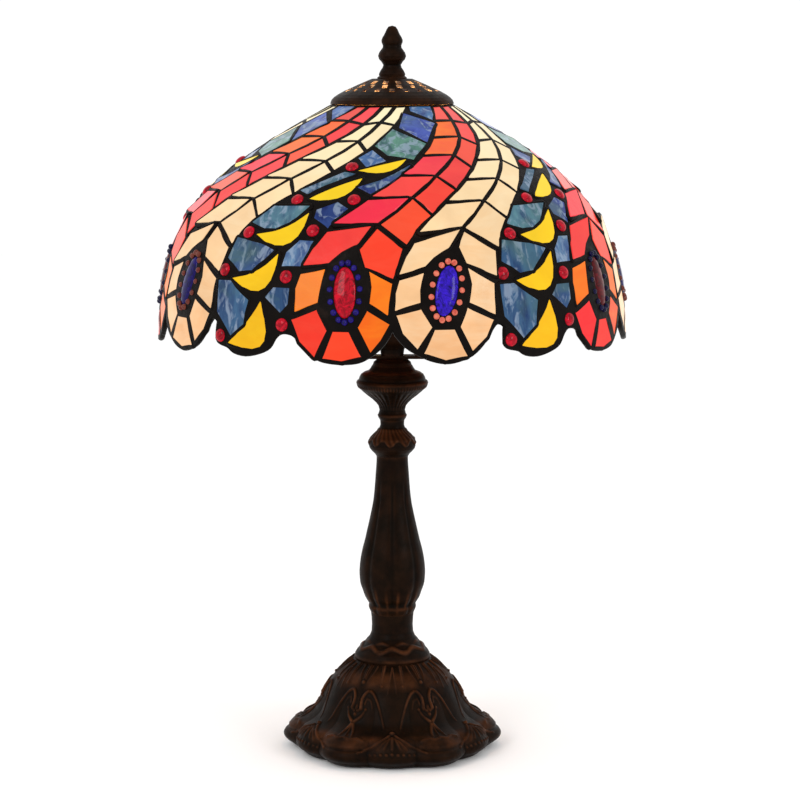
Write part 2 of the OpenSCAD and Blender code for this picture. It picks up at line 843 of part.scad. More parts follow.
// The lobes fade out from the foot up to the round collar
function fade(r) = pow(max(0, (r - 26) / (base_r - 26)), 1.2);
function lobed(angle, r) = r * (1 - fade(r) * (1 - outline_at(off_lobe(angle))));
sides = 90;
function bell_ring(r, z, thin) = [
  for (i = [0:sides - 1])
    let (angle = i * 360 / sides, f = lobed(angle, r) - thin)
    [f * sin(angle), -f * cos(angle), z]
];
inner_bell = [
  [64, foot_z], [66.5, 5.5], [70.5, 8.6], [68.6, 12.2], [64.5, 16.2], [58, 19.6], [53, 22.4], [49.6, 26.6], [46.8, 31.4],
  [43.8, 38], [40.2, 44], [36, 49.2], [31, 53.6], [26, base_h - wall]
];

module base_casting() {
  rings = concat(
    [for (p = bell) bell_ring(p[0], p[1], 0)],
    [for (p = inner_bell) bell_ring(p[0], p[1], wall + 0.2)]
  );
  n = len(rings);
  color(bronze)
    difference() {
      polyhedron(
        points = [for (ring = rings) for (q = ring) q],
        faces = concat(
          [for (k = [0:n - 2]) for (i = [0:sides - 1])
            let (a = k * sides + i, b = k * sides + (i + 1) % sides)
            each [[a, b, b + sides], [a, b + sides, a + sides]]],
          [[for (i = [sides - 1:-1:0]) i]],
          [[for (i = [0:sides - 1]) (n - 1) * sides + i]]
        )
      );
      translate([0, 0, base_h - 8])
        cylinder(r = bore_r, h = 12);
      translate([0, 50, inlet_z])
        rotate([-90, 0, 0])
          cylinder(r = bushing_r, h = 30);
    }
}

inlet_z = 11;
bushing_r = 5;
cord_hole_r = 3.5;
module cord_bushing() {
  color([0.05, 0.05, 0.05])
    translate([0, 56.2, inlet_z])
      rotate([-90, 0, 0])
        difference() {
          union() {
            cylinder(r = 6, h = 0.9);
            cylinder(r = bushing_r, h = 14);
          }
          translate([0, 0, -1])
            cylinder(r = cord_hole_r, h = 20);
        }
}

felt_r = 58;
module felt_pad() {
  color([0.1, 0.12, 0.1])
    cylinder(r = felt_r, h = foot_z);
}

cover_r = 55;
module bottom_cover() {
  color([0.3, 0.3, 0.3])
    translate([0, 0, foot_z])
      cylinder(r = cover_r, h = 1.5);
}

module base_weight() {
  color([0.35, 0.33, 0.3])
    translate([0, 0, foot_z + 1.5])
      difference() {
        cylinder(r = 50, h = 13);
        translate([0, 0, -1])
          cylinder(r = 16, h = 20);
      }
}

tube_low_z = 42;
module centre_tube() {
  color(brass)
    difference() {
      translate([0, 0, tube_low_z])
        cylinder(r = tube_r, h = holder_z + 8 - tube_low_z);
      translate([0, 0, tube_low_z - 1])
        cylinder(r = 3.6, h = holder_z - tube_low_z + 12);
    }
}

module tube_washer() {
  color([0.6, 0.6, 0.62])
    difference() {
      translate([0, 0, base_h - wall - 1.6])
        cylinder(r = 14, h = 1.6);
      translate([0, 0, base_h - wall - 3])
        cylinder(r = bore_r, h = 5);
    }
}

nut_h = 5;
module tube_nut() {
  color([0.6, 0.6, 0.62])
    difference() {
      translate([0, 0, base_h - wall - 1.6 - nut_h])
        cylinder(r = 9.2, h = nut_h, $fn = 6);
      translate([0, 0, base_h - wall - 1.6 - nut_h - 1])
        cylinder(r = tube_r, h = nut_h + 2);
    }
}

base_casting();
base_weight();
bottom_cover();
felt_pad();
cord_bushing();
centre_tube();
tube_washer();
tube_nut();
lower_collar();
baluster();
stem_knop();
urn();
check_ring();
harp_saddle();
harp_wire();
harp_ferrules();
harp_stud();
holder_cap();
holder_shell();
holder_sleeve();
screw_shell();
centre_contact();
switch_shaft();
switch_knob();
bulb_glass();
bulb_cap();
bulb_contact();
lower_washer();
shade_ring();
leadwork();
glass_red();
glass_orange();
glass_cream();
glass_blue();
glass_yellow();
eye_jewels_red();
eye_jewels_blue();
beads_blue();
beads_pink();
round_jewels();
pierced_cap();
upper_washer();
finial_insert();
finial();
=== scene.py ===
import colorsys
import json
import math
import random

import bmesh
import bpy
from mathutils import Matrix, Vector


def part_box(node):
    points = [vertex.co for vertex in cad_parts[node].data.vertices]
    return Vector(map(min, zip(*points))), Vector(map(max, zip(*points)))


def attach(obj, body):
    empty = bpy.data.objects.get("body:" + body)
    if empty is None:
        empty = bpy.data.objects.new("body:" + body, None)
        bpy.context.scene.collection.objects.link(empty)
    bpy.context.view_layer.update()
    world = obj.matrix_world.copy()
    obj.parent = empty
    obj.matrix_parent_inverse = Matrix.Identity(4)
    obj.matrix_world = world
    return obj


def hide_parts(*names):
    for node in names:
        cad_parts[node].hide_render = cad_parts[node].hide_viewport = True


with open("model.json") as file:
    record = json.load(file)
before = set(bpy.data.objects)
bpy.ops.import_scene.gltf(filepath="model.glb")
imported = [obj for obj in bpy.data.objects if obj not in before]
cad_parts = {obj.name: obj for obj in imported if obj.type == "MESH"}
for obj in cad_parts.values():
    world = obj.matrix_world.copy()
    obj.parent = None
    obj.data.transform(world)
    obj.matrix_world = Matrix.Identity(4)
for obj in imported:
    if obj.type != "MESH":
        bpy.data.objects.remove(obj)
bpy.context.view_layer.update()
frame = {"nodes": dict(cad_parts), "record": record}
MM = 0.001
TAU = 2 * math.pi
# A point inside the shade that its pieces face away from
HEART = Vector((0, 0, 0.30))


# ---------------------------------------------------------------- node helpers

class Shader:
    """A material under construction, with short calls for its nodes."""

    def __init__(self, name):
        self.material = bpy.data.materials.new(name)
        self.material.use_nodes = True
        self.tree = self.material.node_tree
        self.principled = self.tree.nodes["Principled BSDF"]
        self.output = self.tree.nodes["Material Output"]
        self.coords = self.add("ShaderNodeTexCoord").outputs["Object"]

    def add(self, kind, **settings):
        node = self.tree.nodes.new(kind)
        for key, value in settings.items():
            setattr(node, key, value)
        return node

    def link(self, a, b):
        self.tree.links.new(a, b)

    def put(self, **values):
        """Set uniform values on the shader's own sockets."""
        for key, value in values.items():
            socket = self.principled.inputs[key.replace("_", " ")]
            socket.default_value = value

    def stretched(self, scale, rotation=(0, 0, 0)):
        mapping = self.add("ShaderNodeMapping")
        mapping.inputs["Scale"].default_value = scale
        mapping.inputs["Rotation"].default_value = rotation
        self.link(self.coords, mapping.inputs["Vector"])
        return mapping.outputs["Vector"]

    def noise(self, scale, detail=3.0, roughness=0.5, distortion=0.0, vector=None):
        node = self.add("ShaderNodeTexNoise")
        node.inputs["Scale"].default_value = scale
        node.inputs["Detail"].default_value = detail
        node.inputs["Roughness"].default_value = roughness
        node.inputs["Distortion"].default_value = distortion
        self.link(vector or self.coords, node.inputs["Vector"])
        return node.outputs["Fac"]

    def ramp(self, value, stops, interpolation="LINEAR"):
        node = self.add("ShaderNodeValToRGB")
        node.color_ramp.interpolation = interpolation
        elements = node.color_ramp.elements
        while len(elements) < len(stops):
            elements.new(0.5)
        for element, (position, colour) in zip(elements, stops):
            element.position = position
            element.color = (*colour, 1) if len(colour) == 3 else colour
        self.link(value, node.inputs["Fac"])
        return node.outputs["Color"]

    def mix(self, blend, factor, a, b):
        node = self.add("ShaderNodeMix", data_type="RGBA", blend_type=blend)
        self.feed(node.inputs[0], factor)
        self.feed(node.inputs[6], a)
        self.feed(node.inputs[7], b)
        return node.outputs[2]

    def feed(self, socket, value):
        if isinstance(value, bpy.types.NodeSocket):
            self.link(value, socket)
        elif isinstance(value, (int, float)):
            socket.default_value = value
        else:
            socket.default_value = (*value, 1) if len(value) == 3 else value

    def math(self, operation, a, b=0.0):
        node = self.add("ShaderNodeMath", operation=operation)
        self.feed(node.inputs[0], a)
        self.feed(node.inputs[1], b)
        return node.outputs[0]

    def attribute(self, name):
        node = self.add("ShaderNodeAttribute", attribute_name=name)
        return node.outputs["Color"]

    def backlit(self, colour, body, glow):
        """Glass lit from behind, with the light that shines through painted on as a glow: most of its colour
        shines through, and a share reflects.
        """
        self.link(self.mix("MULTIPLY", 1.0, colour, (body,) * 3), self.principled.inputs["Base Color"])
        self.link(colour, self.principled.inputs["Emission Color"])
        self.put(Emission_Strength=glow)

    def bump(self, height, strength, distance):
        node = self.add("ShaderNodeBump")
        node.inputs["Strength"].default_value = strength
        node.inputs["Distance"].default_value = distance
        self.link(height, node.inputs["Height"])
        self.link(node.outputs["Normal"], self.principled.inputs["Normal"])


def srgb(r, g, b):
    """A colour given as 0 to 255 display values, as the linear values that shaders use."""
    def linear(v):
        v = v / 255
        return v / 12.92 if v <= 0.04045 else ((v + 0.055) / 1.055) ** 2.4
    return (linear(r), linear(g), linear(b))


# ---------------------------------------------------------------- materials

def sheet_glass(name, streak, streak_scale, glow):
    """Opalescent sheet glass lit from behind. Each piece's own colour is its "tone" attribute."""
    s = Shader(name)
    tone = s.attribute("tone")
    cloud = s.noise(22, 4, 0.6, 0.6)
    soft = s.ramp(cloud, [(0.3, (0.86, 0.86, 0.86)), (0.7, (1.06, 1.06, 1.06))])
    colour = s.mix("MULTIPLY", 1.0, tone, soft)
    wisps = s.noise(streak_scale, 5, 0.62, 1.4, s.stretched((1.0, 1.0, 2.6), (0.5, 0.4, 0.3)))
    veil = s.ramp(wisps, [(0.42, (0, 0, 0)), (0.72, (1, 1, 1))])
    colour = s.mix("MIX", s.math("MULTIPLY", veil, streak[0]), colour, streak[1])
    s.backlit(colour, GLASS_BODY, glow)
    s.put(Roughness=0.16, IOR=1.5, Specular_IOR_Level=0.12)
    ripple = s.noise(130, 2, 0.5, 0.3)
    s.bump(ripple, 0.2, 0.0005)
    return s.material


def streaky_blue(name):
    """Blue sheet glass with white and grey-green streaks."""
    s = Shader(name)
    tone = s.attribute("tone")
    grain = s.stretched((2.4, 2.4, 0.8), (0.35, 0.25, 0.6))
    broad = s.noise(34, 4, 0.6, 1.2, grain)
    dark = s.ramp(broad, [(0.34, (0.3, 0.36, 0.62)), (0.5, (0.9, 0.95, 1)), (0.66, (1.3, 1.35, 1.25))])
    colour = s.mix("MULTIPLY", 1.0, tone, dark)
    fine = s.noise(62, 4, 0.6, 1.0, grain)
    pale = s.ramp(fine, [(0.5, (0, 0, 0)), (0.6, (1, 1, 1))])
    colour = s.mix("MIX", s.math("MULTIPLY", pale, 0.6), colour, srgb(160, 178, 200))
    green = s.ramp(s.noise(34, 3, 0.5, 0.8), [(0.5, (0, 0, 0)), (0.66, (1, 1, 1))])
    colour = s.mix("MIX", s.math("MULTIPLY", green, 0.4), colour, srgb(90, 124, 104))
    s.backlit(colour, GLASS_BODY, 0.8)
    s.put(Roughness=0.16, IOR=1.5, Specular_IOR_Level=0.12)
    s.bump(s.noise(120, 2, 0.5, 0.3), 0.2, 0.0005)
    return s.material


def jewel(name, deep, bright, glow):
    """Pressed glass cabochon: deep colour with brighter folds inside.

    The mesh's "lit" attribute is its share of the bulb's light."""
    s = Shader(name)
    folds = s.noise(190, 4, 0.7, 2.0)
    colour = s.ramp(folds, [(0.36, deep), (0.66, bright)])
    colour = s.mix("MULTIPLY", 1.0, colour, s.attribute("lit"))
    s.backlit(colour, JEWEL_BODY, glow)
    s.put(Roughness=0.1, IOR=1.5, Specular_IOR_Level=0.14)
    s.bump(s.noise(170, 2, 0.5), 0.25, 0.0008)
    return s.material


def patina_lead(name):
    """Solder and foil under a black-brown patina, with a few places rubbed shinier."""
    s = Shader(name)
    wear = s.noise(70, 5, 0.65, 0.4)
    colour = s.ramp(wear, [(0.35, srgb(7, 4, 3)), (0.62, srgb(13, 8, 6)), (0.8, srgb(30, 20, 15))])
    s.link(colour, s.principled.inputs["Base Color"])
    rough = s.ramp(s.noise(190, 4, 0.6), [(0.3, (0.34, 0.34, 0.34)), (0.7, (0.58, 0.58, 0.58))])
    s.link(rough, s.principled.inputs["Roughness"])
    s.put(Metallic=0.05, Specular_IOR_Level=0.05)
    s.bump(s.noise(320, 4, 0.6), 0.35, 0.0008)
    return s.material


def cast_bronze(name):
    """Dark bronze paint on a casting: near black in the hollows, reddish brown where it is rubbed. The reddish
    brown on its edges and in broad patches is partly rubbed wear and partly a painted highlight.
    """
    s = Shader(name)
    geometry = s.add("ShaderNodeNewGeometry")
    edges = s.ramp(geometry.outputs["Pointiness"],
                   [(0.47, (0, 0, 0)), (0.56, (1, 1, 1))])
    blotch = s.noise(38, 5, 0.6, 0.5)
    ground = s.ramp(blotch, [(0.3, srgb(5, 3, 2)), (0.55, srgb(9, 6, 3)), (0.78, srgb(16, 10, 5))])
    # Lighter edges: partly rubbed wear, partly a painted highlight
    rub_and_sheen = s.math("MULTIPLY", edges, s.ramp(s.noise(110, 4, 0.6), [(0.35, (0.2, 0.2, 0.2)), (0.7, (1, 1, 1))]))
    colour = s.mix("MIX", s.math("MULTIPLY", rub_and_sheen, 0.4), ground, srgb(70, 40, 22))
    # Reddish brown from the mesh attribute: wear on the raised relief, and painted highlights on the bell's
    # shoulder and skirt
    patches = s.ramp(s.noise(75, 4, 0.6), [(0.36, (0.1,) * 3), (0.66, (1,) * 3)])
    wear_and_sheen = s.math("MULTIPLY", s.attribute("wear_and_sheen"), patches)
    colour = s.mix("MIX", s.math("MULTIPLY", wear_and_sheen, 0.65), colour, srgb(104, 60, 34))
    s.link(colour, s.principled.inputs["Base Color"])
    rough = s.ramp(s.noise(210, 4, 0.6), [(0.3, (0.3, 0.3, 0.3)), (0.75, (0.52, 0.52, 0.52))])
    s.link(rough, s.principled.inputs["Roughness"])
    s.put(Metallic=0.05, Specular_IOR_Level=0.03)
    s.bump(s.noise(420, 5, 0.65), 0.25, 0.0005)
    return s.material


def metal(name, dark, light, rough_low, rough_high, brushed):
    """Drawn or plated metal with fine lengthwise lines."""
    s = Shader(name)
    lines = s.noise(240, 4, 0.6, 0.2, s.stretched(brushed))
    colour = s.ramp(lines, [(0.3, dark), (0.7, light)])
    s.link(colour, s.principled.inputs["Base Color"])
    rough = s.ramp(s.noise(60, 4, 0.6), [(0.3, (rough_low,) * 3), (0.7, (rough_high,) * 3)])
    s.link(rough, s.principled.inputs["Roughness"])
    s.put(Metallic=1.0)
    s.bump(lines, 0.08, 0.0003)
    return s.material


def dull(name, dark, light, grain, bump_depth):
    """Matte material with a visible grain: felt, card, rough casting, moulded plastic."""
    s = Shader(name)
    speck = s.noise(grain, 6, 0.7)
    s.link(s.ramp(speck, [(0.3, dark), (0.7, light)]), s.principled.inputs["Base Color"])
    s.link(s.ramp(s.noise(grain / 3, 3), [(0.3, (0.6, 0.6, 0.6)), (0.7, (0.85, 0.85, 0.85))]),
           s.principled.inputs["Roughness"])
    s.bump(speck, 0.6, bump_depth)
    return s.material


def slot_glow(name):
    """Cut edge of the cap's slots, with the bulb's light from below painted on as a warm wash with a faint glow.
    """
    s = Shader(name)
    wash = s.ramp(s.noise(90, 3), [(0.45, srgb(52, 26, 14)), (0.6, srgb(226, 176, 122))])
    s.link(wash, s.principled.inputs["Base Color"])
    s.link(wash, s.principled.inputs["Emission Color"])
    s.put(Emission_Strength=0.12, Roughness=0.6)
    return s.material


def opal_bulb(name):
    """Frosted glass with the lamp alight inside."""
    s = Shader(name)
    frost = s.ramp(s.noise(90, 3), [(0.3, srgb(255, 236, 200)), (0.7, srgb(255, 244, 220))])
    s.link(frost, s.principled.inputs["Base Color"])
    s.link(frost, s.principled.inputs["Emission Color"])
    s.put(Emission_Strength=6.0, Roughness=0.35)
    return s.material


GLASS_BODY = 0.1
JEWEL_BODY = 0.1
LEAD = patina_lead("lead_patina")
BRONZE = cast_bronze("cast_bronze_paint")
BRASS = metal("drawn_brass", srgb(132, 100, 48), srgb(190, 152, 84), 0.22, 0.4, (1, 1, 6))
STEEL = metal("zinc_plate", srgb(120, 120, 122), srgb(176, 176, 178), 0.25, 0.42, (1, 1, 6))
IRON = dull("rough_iron", srgb(60, 56, 52), srgb(100, 94, 88), 300, 0.0012)
FELT = dull("dark_felt", srgb(14, 16, 14), srgb(34, 38, 34), 900, 0.0010)
PLASTIC = dull("black_moulding", srgb(10, 10, 10), srgb(22, 22, 22), 500, 0.0002)
CARD = dull("insulating_card", srgb(170, 146, 104), srgb(206, 182, 138), 400, 0.0003)
CAP_INSIDE = dull("raw_cap_inside", srgb(150, 120, 84), srgb(176, 146, 104), 260, 0.0002)
SLOT_GLOW = slot_glow("lit_slot_edge")
BULB = opal_bulb("opal_glass_lit")
RED = sheet_glass("red_sheet_glass", (0.12, srgb(255, 110, 80)), 26, 0.9)
ORANGE = sheet_glass("orange_sheet_glass", (0.4, srgb(255, 150, 24)), 16, 0.9)
CREAM = sheet_glass("cream_sheet_glass", (0.3, srgb(255, 240, 205)), 20, 0.9)
YELLOW = sheet_glass("yellow_sheet_glass", (0.2, srgb(255, 224, 40)), 26, 0.9)
BLUE = streaky_blue("blue_streaky_glass")
RUBY = jewel("ruby_cabochon", srgb(120, 0, 18), srgb(236, 4, 44), 0.72)
SAPPHIRE = jewel("sapphire_cabochon", srgb(16, 2, 96), srgb(66, 26, 236), 0.75)
DARK_BEAD = jewel("dark_blue_bead", srgb(10, 4, 70), srgb(50, 30, 170), 0.5)
PINK = jewel("pink_bead_glass", srgb(206, 74, 62), srgb(246, 140, 112), 0.8)

CAD_LOOKS = {
    "cast_bronze": BRONZE, "plain_brass": BRASS, "zinc_steel": STEEL, "iron_weight": IRON, "felt": FELT,
    "black_plastic": PLASTIC, "card_sleeve": CARD, "opal_bulb": BULB, "lead_solder": LEAD,
    "red_glass": RED, "orange_glass": ORANGE, "cream_glass": CREAM, "blue_glass": BLUE,
    "yellow_glass": YELLOW, "ruby_jewel": RUBY, "sapphire_jewel": SAPPHIRE, "pink_bead": PINK,
}


SLOTS_START = 14 * MM
SLOTS_END = 33 * MM


def dress_cad_nodes():
    for part in frame["record"]["subparts"]:
        mesh = frame["nodes"][part["node"]].data
        mesh.materials.clear()
        mesh.materials.append(CAD_LOOKS[part["material_slot"]])
    cap = frame["nodes"]["pierced_cap"].data
    cap.materials.append(CAP_INSIDE)
    cap.materials.append(SLOT_GLOW)
    for polygon in cap.polygons:
        radius = math.hypot(polygon.center.x, polygon.center.y)
        # The slots' side walls get painted light from the bulb below
        if abs(polygon.normal.z) < 0.1 and SLOTS_START < radius < SLOTS_END:
            polygon.material_index = 2
        elif polygon.normal.z < -0.3:
            polygon.material_index = 1


# ---------------------------------------------------------------- mesh helpers

def make_object(name, verts, faces, material, body, smooth=True):
    mesh = bpy.data.meshes.new(name)
    mesh.from_pydata([tuple(v) for v in verts], [], faces)
    mesh.validate()
    mesh.update()
    mesh.materials.append(material)
    for polygon in mesh.polygons:
        polygon.use_smooth = smooth
    piece = bpy.data.objects.new(name, mesh)
    bpy.context.scene.collection.objects.link(piece)
    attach(piece, body)
    return piece


def islands(node):
    """Every separate solid of a CAD node, as its flat faces' (area, outline, normal), broadest first."""
    bm = bmesh.new()
    bm.from_mesh(frame["nodes"][node].data)
    bmesh.ops.remove_doubles(bm, verts=bm.verts, dist=1e-6)
    bmesh.ops.dissolve_limit(bm, angle_limit=math.radians(0.6), verts=bm.verts, edges=bm.edges)
    seen = set()
    found = []
    for start in bm.faces:
        if start in seen:
            continue
        seen.add(start)
        island = [start]
        for face in island:
            for edge in face.edges:
                for other in edge.link_faces:
                    if other not in seen:
                        seen.add(other)
                        island.append(other)
        flats = [(f.calc_area(), [v.co.copy() for v in f.verts], f.normal.copy()) for f in island]
        found.append(sorted(flats, key=lambda flat: -flat[0]))
    bm.free()
    return found


def mean(points):
    return sum(points, Vector()) / len(points)


def glass_outlines(node):
    """The outer outline and outward direction of every flat glass piece in a CAD node."""
    outlines = []
    for flats in islands(node):
        outer = max(flats[:2], key=lambda flat: flat[2].dot(mean(flat[1]) - HEART))
        outlines.append((outer[1], outer[2]))
    return outlines


def place_on_shade(point):
    """Angle round the shade from the front, in degrees, and height, in mm."""
    return math.degrees(math.atan2(point.x, -point.y)), point.z / MM


def offset_loop(points, normal, distance, arc=30):
    """A closed flat outline moved outwards, with round corners."""
    n = len(points)
    out = []
    for i in range(n):
        before, here, after = points[i - 1], points[i], points[(i + 1) % n]
        a = (here - before).normalized().cross(normal)
        b = (after - here).normalized().cross(normal)
        turn = math.degrees(a.angle(b, 0.0))
        convex = a.cross(b).dot(normal) > 0
        if convex and turn > arc:
            steps = max(1, int(turn / arc))
            for k in range(steps + 1):
                out.append(here + (a.lerp(b, k / steps)).normalized() * distance)
        else:
            out.append(here + (a + b) * (distance / max(0.35, 1 + a.dot(b))))
    return out


def sweep_ring(verts, faces, loop, normals, half_width, half_height, sides=8):
    """Add a closed bead of oval section along a loop, given the way up at each of its points."""
    base = len(verts)
    n = len(loop)
    for i in range(n):
        normal = normals[i]
        along = (loop[(i + 1) % n] - loop[i - 1]).normalized()
        across = along.cross(normal).normalized()
        for k in range(sides):
            a = TAU * k / sides
            verts.append(loop[i] + across * (half_width * math.cos(a)) + normal * (half_height * math.sin(a)))
    for i in range(n):
        j = (i + 1) % n
        for k in range(sides):
            m = (k + 1) % sides
            here, there = base + i * sides, base + j * sides
            faces.append((here + k, here + m, there + m, there + k))


# ---------------------------------------------------------------- the shade

GLASS_T = 2.4 * MM
LEAD_W = 2.6 * MM
LEAD_T = 3.2 * MM
BEAD_R = 1.85 * MM
BEAD_SUNK = 1.5 * MM
SOLDER_SUNK = GLASS_T / 2 + 0.55 * MM
SOLDER_HALF_W = 1.55 * MM
SOLDER_HALF_H = 1.7 * MM
RIM_HALF_W = 1.1 * MM
RIM_HALF_H = 1.5 * MM
# The eyes at the two sides of the lampshade get painted shade: their share of the light, and the angles they lie
# between
SIDE_SHADE_SHARE = 0.2
SIDE_SHADE_FROM = 40
SIDE_SHADE_TO = 104
draw = random.Random(7)


def shade_tone(palette, spread):
    """A colour of the palette, varied a little in hue and value."""
    h, s, v = colorsys.rgb_to_hsv(*[c / 255 for c in draw.choice(palette)])
    h = (h + draw.uniform(-spread, spread) * 0.04) % 1
    v = min(1, v * (1 + draw.uniform(-spread, spread) * 0.12))
    return srgb(*[c * 255 for c in colorsys.hsv_to_rgb(h, s, v)])


def blend_tone(a, b, t):
    """The colour a share t of the way from display colour a to display colour b."""
    return srgb(*[a[k] + (b[k] - a[k]) * t for k in range(3)])


REPEATS = 5
PITCH = 360 / REPEATS
SHADE_TOP = 425
SHADE_DROP = 155


def repeat_order(outlines, top_angle, turn):
    """Each outline's place, counted from the top, within its own repeat of the pattern.

    The band that the pieces lie in starts at top_angle and winds round by turn degrees down the shade."""
    repeats = {}
    for index, (outline, _) in enumerate(outlines):
        angle, z = place_on_shade(mean(outline))
        drop = max(0.0, (SHADE_TOP - z) / SHADE_DROP)
        repeat = round((angle - top_angle + turn * math.sqrt(drop)) / PITCH) % REPEATS
        repeats.setdefault(repeat, []).append((-z, index))
    order = {}
    for members in repeats.values():
        for rank, (_, index) in enumerate(sorted(members)):
            order[index] = rank
    return order


REDS = [
    (241, 80, 70), (248, 72, 82), (250, 66, 74), (247, 80, 64), (250, 62, 84), (249, 68, 74), (246, 84, 68),
    (250, 64, 56), (246, 48, 62), (251, 66, 48), (246, 54, 56), (251, 64, 40), (250, 44, 40), (250, 54, 36)
]
ORANGES = [(251, 114, 40), (250, 106, 56), (250, 114, 20), (251, 110, 24), (250, 98, 20)]
BLUES = [
    (74, 109, 164), (66, 92, 171), (87, 132, 119), (60, 86, 141), (42, 65, 133), (64, 100, 121),
    (42, 61, 127), (82, 119, 139), (101, 131, 171), (52, 83, 123), (44, 71, 114), (60, 94, 133)
]


def listed_tone(colours):
    """A rule that colours the pieces of each repeat in the order of a list."""
    return lambda rank, z: shade_tone([colours[rank % len(colours)]], 0.3)


def cream_tone(_, z):
    """Pale at the top of the shade, and warmer towards its rim."""
    t = min(1, max(0, (418 - z) / 140))
    tone = blend_tone((255, 240, 194), (253, 190, 134), t ** 0.8)
    k = 1 + draw.uniform(-0.05, 0.03)
    return tuple(c * k for c in tone)


def yellow_tone(_, z):
    """Lemon at the top of the shade, and deeper towards its rim."""
    t = min(1, max(0, (370 - z) / 90))
    return blend_tone((254, 212, 26), (250, 184, 18), t)


def build_glass(node, name, material, tone, top_angle=51, turn=62):
    """Glass pieces with softened edges that tuck under the lead."""
    verts, faces, tones = [], [], []
    outlines = glass_outlines(node)
    order = repeat_order(outlines, top_angle, turn)
    for index, (outline, normal) in enumerate(outlines):
        colour = tone(order[index], mean(outline).z / MM)
        rings = [(0.5, -GLASS_T), (0.5, -0.45 * MM), (-0.1, 0.0)]
        base = len(verts)
        n = len(outline)
        for grow, drop in rings:
            ring = offset_plain(outline, normal, grow * MM)
            verts.extend(p + normal * drop for p in ring)
        count = len(rings)
        first_face = len(faces)
        for r in range(count - 1):
            for i in range(n):
                j = (i + 1) % n
                here, there = base + r * n, base + (r + 1) * n
                faces.append((here + i, here + j, there + j, there + i))
        faces.append(tuple(base + (count - 1) * n + i for i in range(n)))
        faces.append(tuple(base + i for i in reversed(range(n))))
        tones.extend([colour] * (len(faces) - first_face))
    piece = make_object(name, verts, faces, material, "shade", smooth=False)
    layer = piece.data.color_attributes.new("tone", "FLOAT_COLOR", "CORNER")
    for polygon, colour in zip(piece.data.polygons, tones):
        for i in polygon.loop_indices:
            layer.data[i].color = (*colour, 1)
    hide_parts(node)
    return piece


def offset_plain(points, normal, distance):
    """A closed flat outline moved outwards with the same number of points."""
    n = len(points)
    out = []
    for i in range(n):
        a = (points[i] - points[i - 1]).normalized().cross(normal)
        b = (points[(i + 1) % n] - points[i]).normalized().cross(normal)
        out.append(points[i] + (a + b) * (distance / max(0.5, 1 + a.dot(b))))
    return out


def build_solder():
    """Raised solder beads over the foil, one round each glass piece."""
    verts, faces = [], []
    for node in ("glass_red", "glass_orange", "glass_cream", "glass_blue", "glass_yellow"):
        for outline, normal in glass_outlines(node):
            middle = [p - normal * SOLDER_SUNK for p in outline]
            loop = offset_loop(middle, normal, LEAD_W / 2)
            sweep_ring(verts, faces, loop, [normal] * len(loop), SOLDER_HALF_W, SOLDER_HALF_H)
    return make_object("solder_seams", verts, faces, LEAD, "shade")


def rim_points():
    """The scalloped lower edge of the leadwork's outer face, as a closed loop."""
    bm = bmesh.new()
    bm.from_mesh(frame["nodes"]["leadwork"].data)
    bmesh.ops.remove_doubles(bm, verts=bm.verts, dist=1e-6)
    outer = {f for f in bm.faces if f.normal.dot((f.calc_center_median() - HEART).normalized()) > 0.6}
    border = {e for e in bm.edges if len([f for f in e.link_faces if f in outer]) == 1}
    longest = []
    while border:
        edge = border.pop()
        first, here = edge.verts
        loop = [first.co.copy()]
        while here is not first:
            loop.append(here.co.copy())
            ways = [e for e in here.link_edges if e in border]
            if not ways:
                break
            border.remove(ways[0])
            here = ways[0].other_vert(here)
        if len(loop) > len(longest):
            longest = loop
    bm.free()
    thinned = [longest[0]]
    for point in longest[1:]:
        if (point - thinned[-1]).length > 0.9 * MM:
            thinned.append(point)
    return thinned


def build_rim():
    """Wire bead that closes the scalloped edge."""
    loop = rim_points()
    normals = [Vector((p.x, p.y, 0.02)).normalized() for p in loop]
    middle = [p - n * (LEAD_T / 2) + Vector((0, 0, 0.5 * MM)) for p, n in zip(loop, normals)]
    verts, faces = [], []
    sweep_ring(verts, faces, middle, normals, RIM_HALF_W, RIM_HALF_H)
    return make_object("rim_bead", verts, faces, LEAD, "shade")


def light_jewels(piece, shade_sides):
    """Write each jewel's share of the bulb's light: the eyes at the sides of the lampshade may get painted shade.
    """
    layer = piece.data.color_attributes.new("lit", "FLOAT_COLOR", "CORNER")
    for polygon in piece.data.polygons:
        angle = math.degrees(math.atan2(polygon.center.x, -polygon.center.y))
        # Painted shade: an eye at the side gets only a share of the light
        in_side_shade = shade_sides and SIDE_SHADE_FROM < abs(angle) < SIDE_SHADE_TO
        share = SIDE_SHADE_SHARE if in_side_shade else 1.0
        for i in polygon.loop_indices:
            layer.data[i].color = (share, share, share, 1)


def build_beads(node, name, material):
    """Small glass beads, set a little way into the lead."""
    bm = bmesh.new()
    for flats in islands(node):
        centre = mean([mean(outline) for _, outline, _ in flats])
        outward = (centre - HEART).normalized()
        place = Matrix.Translation(centre - outward * BEAD_SUNK)
        bmesh.ops.create_uvsphere(bm, u_segments=14, v_segments=10, radius=BEAD_R, matrix=place)
    bm.verts.index_update()
    verts = [v.co.copy() for v in bm.verts]
    faces = [tuple(v.index for v in f.verts) for f in bm.faces]
    bm.free()
    piece = make_object(name, verts, faces, material, "shade")
    light_jewels(piece, True)
    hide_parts(node)
    return piece


